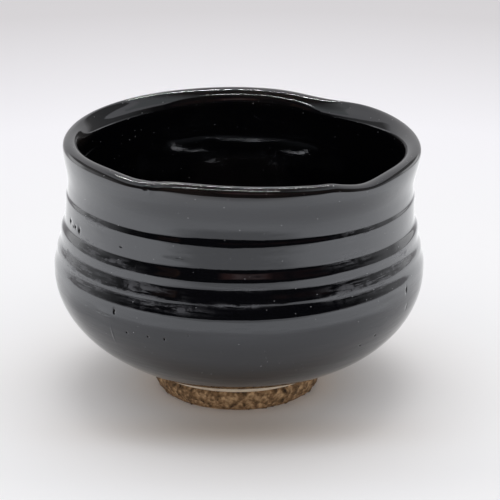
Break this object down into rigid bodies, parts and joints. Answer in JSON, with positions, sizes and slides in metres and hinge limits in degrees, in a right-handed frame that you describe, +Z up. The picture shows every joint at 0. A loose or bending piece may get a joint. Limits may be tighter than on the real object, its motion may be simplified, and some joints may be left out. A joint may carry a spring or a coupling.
{
  "type": "matcha bowl",
  "caption": "Low-waisted, hand-thrown matcha bowl with a waved lip, throwing rings, black glaze and a coarse bare foot ring.",
  "frame": {"origin": "centre of the plane that the foot ring rests on", "axes": "+Z up along the turning axis, out of the bowl's mouth; -Y faces the lip's low front, so +X is to the right from there"},
  "size_m": [0.122, 0.122, 0.0873],
  "materials": {
    "stoneware_clay": "matt fired clay, turned",
    "coarse_foot_clay": "matt, coarse and gritty, brown with dark pits and pale grains",
    "pale_slip": "matt cream slip",
    "black_glaze": "glossy black glaze with pinholes and fine specks, brown where it is thin"
  },
  "bodies": {
    "root": {"thrown_bowl": "stoneware_clay", "foot_ring": "coarse_foot_clay", "slip_line": "pale_slip", "outer_glaze": "black_glaze", "inner_glaze": "black_glaze"}
  },
  "joints": []
}
